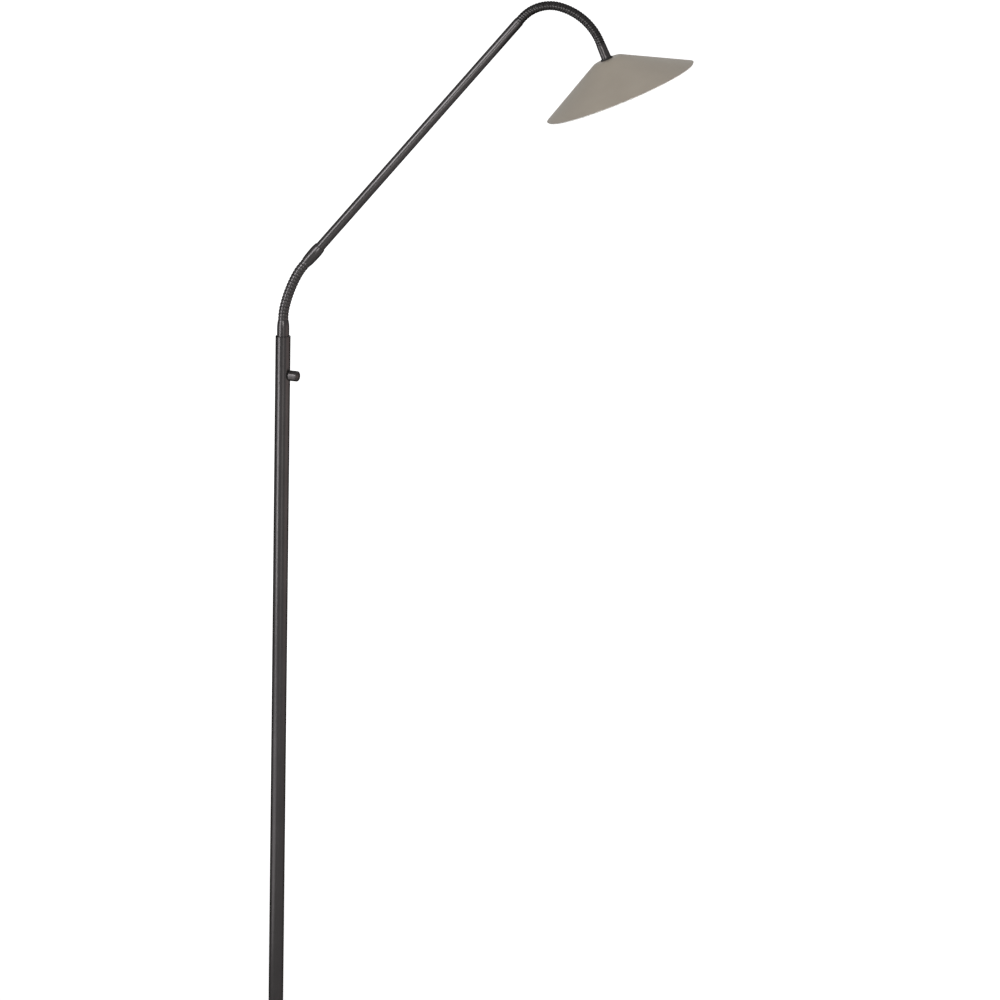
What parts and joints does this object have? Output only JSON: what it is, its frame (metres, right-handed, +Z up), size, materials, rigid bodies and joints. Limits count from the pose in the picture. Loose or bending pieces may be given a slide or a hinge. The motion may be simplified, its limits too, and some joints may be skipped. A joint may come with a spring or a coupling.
{
  "type": "reading floor lamp",
  "caption": "Reading floor lamp with a round foot, an upright pole with a dimmer knob, a slim arm between two flexible necks and a shallow cone shade over a flat light module.",
  "frame": {"origin": "on the floor, on the pole's axis, at the middle of the pad's underside", "axes": "+Z up along the pole, +X the way the arm leans, the dimmer knob towards +X and the front (-Y)"},
  "size_m": [0.6628, 0.26, 1.501],
  "materials": {
    "graphite_coat": "matt powder coat",
    "shade_coat": "matt powder coat",
    "white_plastic": "satin",
    "opal_plastic": "frosted",
    "black_rubber": "matt",
    "zinc_steel": "zinc plated",
    "black_plastic": "matt",
    "knob_satin": "satin",
    "bare_aluminium": "plain",
    "board_white": "lacquered board",
    "chip_yellow": "silicone lens"
  },
  "bodies": {
    "stand": {"base_disc": "graphite_coat", "base_pad": "black_rubber", "base_bolt": "zinc_steel", "base_washer": "zinc_steel", "pole_foot_plug": "zinc_steel", "pole_tube": "graphite_coat", "cable_grommet": "black_rubber", "pole_cord": "black_rubber", "pole_top_bush": "zinc_steel", "dimmer_body": "black_plastic", "dimmer_nut": "zinc_steel", "dimmer_lead": "black_rubber", "lower_collar": "graphite_coat", "lower_neck_root": "graphite_coat"},
    "dimmer_control": {"dimmer_shaft": "zinc_steel", "dimmer_knob": "knob_satin"},
    "arm": {"lower_neck_tip": "graphite_coat", "arm_collar": "graphite_coat", "arm_tube": "graphite_coat", "arm_lead": "black_rubber", "upper_neck_root": "graphite_coat"},
    "head": {"upper_neck_tip": "graphite_coat", "head_collar": "graphite_coat", "shade_gasket": "black_rubber", "shade_shell": "shade_coat", "shade_liner": "white_plastic", "shade_washer": "zinc_steel", "shade_nut": "zinc_steel", "heat_sink": "bare_aluminium", "led_board": "board_white", "led_chips": "chip_yellow", "board_screws": "zinc_steel", "light_diffuser": "opal_plastic"},
    "lower_link_01": {"lower_link_01": "graphite_coat"},
    "lower_link_02": {"lower_link_02": "graphite_coat"},
    "lower_link_03": {"lower_link_03": "graphite_coat"},
    "lower_link_04": {"lower_link_04": "graphite_coat"},
    "lower_link_05": {"lower_link_05": "graphite_coat"},
    "lower_link_06": {"lower_link_06": "graphite_coat"},
    "lower_link_07": {"lower_link_07": "graphite_coat"},
    "lower_link_08": {"lower_link_08": "graphite_coat"},
    "upper_link_01": {"upper_link_01": "graphite_coat"},
    "upper_link_02": {"upper_link_02": "graphite_coat"},
    "upper_link_03": {"upper_link_03": "graphite_coat"},
    "upper_link_04": {"upper_link_04": "graphite_coat"},
    "upper_link_05": {"upper_link_05": "graphite_coat"},
    "upper_link_06": {"upper_link_06": "graphite_coat"},
    "upper_link_07": {"upper_link_07": "graphite_coat"},
    "upper_link_08": {"upper_link_08": "graphite_coat"},
    "upper_link_09": {"upper_link_09": "graphite_coat"},
    "upper_link_10": {"upper_link_10": "graphite_coat"},
    "upper_link_11": {"upper_link_11": "graphite_coat"},
    "upper_link_12": {"upper_link_12": "graphite_coat"},
    "upper_link_13": {"upper_link_13": "graphite_coat"},
    "upper_link_14": {"upper_link_14": "graphite_coat"},
    "upper_link_15": {"upper_link_15": "graphite_coat"},
    "upper_link_16": {"upper_link_16": "graphite_coat"},
    "upper_link_17": {"upper_link_17": "graphite_coat"}
  },
  "joints": [
    {"name": "dimmer_turn", "type": "hinge", "parent": "stand", "child": "dimmer_control", "pos_m": [0, 0, 0.9924], "axis": [0.9397, -0.342, 0], "range_deg": [0, 280]},
    {"name": "lower_bend_01", "type": "hinge", "parent": "stand", "child": "lower_link_01", "pos_m": [0, 0, 1.07177], "axis": [0, 1, 0], "range_deg": [-13.3, 5.65]},
    {"name": "lower_sway_02", "type": "hinge", "parent": "lower_link_01", "child": "lower_link_02", "pos_m": [0.00097, 0, 1.08066], "axis": [-0.9866, 0, 0.1629], "range_deg": [-9, 9]},
    {"name": "lower_bend_03", "type": "hinge", "parent": "lower_link_02", "child": "lower_link_03", "pos_m": [0.00291, 0, 1.08938], "axis": [0, 1, 0], "range_deg": [-13.3, 5.65]},
    {"name": "lower_bend_04", "type": "hinge", "parent": "lower_link_03", "child": "lower_link_04", "pos_m": [0.00529, 0, 1.098], "axis": [0, 1, 0], "range_deg": [-13.3, 5.65]},
    {"name": "lower_sway_05", "type": "hinge", "parent": "lower_link_04", "child": "lower_link_05", "pos_m": [0.00813, 0, 1.10648], "axis": [-0.94, 0, 0.3412], "range_deg": [-9, 9]},
    {"name": "lower_bend_06", "type": "hinge", "parent": "lower_link_05", "child": "lower_link_06", "pos_m": [0.01139, 0, 1.1148], "axis": [0, 1, 0], "range_deg": [-13.3, 5.65]},
    {"name": "lower_bend_07", "type": "hinge", "parent": "lower_link_06", "child": "lower_link_07", "pos_m": [0.01509, 0, 1.12294], "axis": [0, 1, 0], "range_deg": [-13.3, 5.65]},
    {"name": "lower_sway_08", "type": "hinge", "parent": "lower_link_07", "child": "lower_link_08", "pos_m": [0.0192, 0, 1.13088], "axis": [-0.8614, 0, 0.5079], "range_deg": [-9, 9]},
    {"name": "lower_bend_09", "type": "hinge", "parent": "lower_link_08", "child": "arm", "pos_m": [0.02416, 0, 1.13832], "axis": [0, 1, 0], "range_deg": [-13.3, 5.65]},
    {"name": "upper_bend_01", "type": "hinge", "parent": "arm", "child": "upper_link_01", "pos_m": [0.30882, 0, 1.47877], "axis": [0, 1, 0], "range_deg": [-5.95, 1.19]},
    {"name": "upper_bend_02", "type": "hinge", "parent": "upper_link_01", "child": "upper_link_02", "pos_m": [0.31394, 0, 1.48375], "axis": [0, 1, 0], "range_deg": [-12.53, 2.51]},
    {"name": "upper_sway_03", "type": "hinge", "parent": "upper_link_02", "child": "upper_link_03", "pos_m": [0.31973, 0, 1.48792], "axis": [-0.5244, 0, 0.8515], "range_deg": [-7, 7]},
    {"name": "upper_bend_04", "type": "hinge", "parent": "upper_link_03", "child": "upper_link_04", "pos_m": [0.32607, 0, 1.49122], "axis": [0, 1, 0], "range_deg": [-12.53, 2.51]},
    {"name": "upper_bend_05", "type": "hinge", "parent": "upper_link_04", "child": "upper_link_05", "pos_m": [0.33282, 0, 1.49355], "axis": [0, 1, 0], "range_deg": [-8.35, 1.67]},
    {"name": "upper_bend_06", "type": "hinge", "parent": "upper_link_05", "child": "upper_link_06", "pos_m": [0.33983, 0, 1.49488], "axis": [0, 1, 0], "range_deg": [-12.53, 2.5]},
    {"name": "upper_sway_07", "type": "hinge", "parent": "upper_link_06", "child": "upper_link_07", "pos_m": [0.34697, 0, 1.49518], "axis": [0.031, 0, 0.9995], "range_deg": [-7, 7]},
    {"name": "upper_bend_08", "type": "hinge", "parent": "upper_link_07", "child": "upper_link_08", "pos_m": [0.35407, 0, 1.49444], "axis": [0, 1, 0], "range_deg": [-12.53, 2.51]},
    {"name": "upper_bend_09", "type": "hinge", "parent": "upper_link_08", "child": "upper_link_09", "pos_m": [0.36099, 0, 1.49268], "axis": [0, 1, 0], "range_deg": [-7.8, 1.56]},
    {"name": "upper_sway_10", "type": "hinge", "parent": "upper_link_09", "child": "upper_link_10", "pos_m": [0.36772, 0, 1.4903], "axis": [0.3762, 0, 0.9265], "range_deg": [-7, 7]},
    {"name": "upper_bend_11", "type": "hinge", "parent": "upper_link_10", "child": "upper_link_11", "pos_m": [0.3742, 0, 1.48731], "axis": [0, 1, 0], "range_deg": [-7.8, 1.56]},
    {"name": "upper_bend_12", "type": "hinge", "parent": "upper_link_11", "child": "upper_link_12", "pos_m": [0.38039, 0, 1.48375], "axis": [0, 1, 0], "range_deg": [-7.8, 1.56]},
    {"name": "upper_sway_13", "type": "hinge", "parent": "upper_link_12", "child": "upper_link_13", "pos_m": [0.38623, 0, 1.47965], "axis": [0.6115, 0, 0.7912], "range_deg": [-7, 7]},
    {"name": "upper_bend_14", "type": "hinge", "parent": "upper_link_13", "child": "upper_link_14", "pos_m": [0.39168, 0, 1.47503], "axis": [0, 1, 0], "range_deg": [-7.8, 1.56]},
    {"name": "upper_bend_15", "type": "hinge", "parent": "upper_link_14", "child": "upper_link_15", "pos_m": [0.39668, 0, 1.46994], "axis": [0, 1, 0], "range_deg": [-7.8, 1.56]},
    {"name": "upper_sway_16", "type": "hinge", "parent": "upper_link_15", "child": "upper_link_16", "pos_m": [0.40121, 0, 1.46441], "axis": [0.8018, 0, 0.5976], "range_deg": [-7, 7]},
    {"name": "upper_bend_17", "type": "hinge", "parent": "upper_link_16", "child": "upper_link_17", "pos_m": [0.40521, 0, 1.4585], "axis": [0, 1, 0], "range_deg": [-7.8, 1.56]},
    {"name": "upper_bend_18", "type": "hinge", "parent": "upper_link_17", "child": "head", "pos_m": [0.40866, 0, 1.45225], "axis": [0, 1, 0], "range_deg": [-5.2, 1.04]}
  ],
  "couplings": [
    {"joint": "lower_bend_03", "follows": "lower_bend_01", "ratio": 1},
    {"joint": "lower_bend_04", "follows": "lower_bend_01", "ratio": 1},
    {"joint": "lower_sway_05", "follows": "lower_sway_02", "ratio": 1},
    {"joint": "lower_bend_06", "follows": "lower_bend_01", "ratio": 1},
    {"joint": "lower_bend_07", "follows": "lower_bend_01", "ratio": 1},
    {"joint": "lower_sway_08", "follows": "lower_sway_02", "ratio": 1},
    {"joint": "lower_bend_09", "follows": "lower_bend_01", "ratio": 1},
    {"joint": "upper_bend_02", "follows": "upper_bend_01", "ratio": 2.105},
    {"joint": "upper_bend_04", "follows": "upper_bend_01", "ratio": 2.105},
    {"joint": "upper_bend_05", "follows": "upper_bend_01", "ratio": 1.4034},
    {"joint": "upper_sway_07", "follows": "upper_sway_03", "ratio": 1},
    {"joint": "upper_bend_08", "follows": "upper_bend_06", "ratio": 1},
    {"joint": "upper_bend_09", "follows": "upper_bend_06", "ratio": 0.62275},
    {"joint": "upper_sway_10", "follows": "upper_sway_03", "ratio": 1},
    {"joint": "upper_bend_11", "follows": "upper_bend_06", "ratio": 0.62275},
    {"joint": "upper_bend_12", "follows": "upper_bend_18", "ratio": 1.5},
    {"joint": "upper_sway_13", "follows": "upper_sway_03", "ratio": 1},
    {"joint": "upper_bend_14", "follows": "upper_bend_18", "ratio": 1.5},
    {"joint": "upper_bend_15", "follows": "upper_bend_18", "ratio": 1.5},
    {"joint": "upper_sway_16", "follows": "upper_sway_03", "ratio": 1},
    {"joint": "upper_bend_17", "follows": "upper_bend_18", "ratio": 1.5}
  ]
}
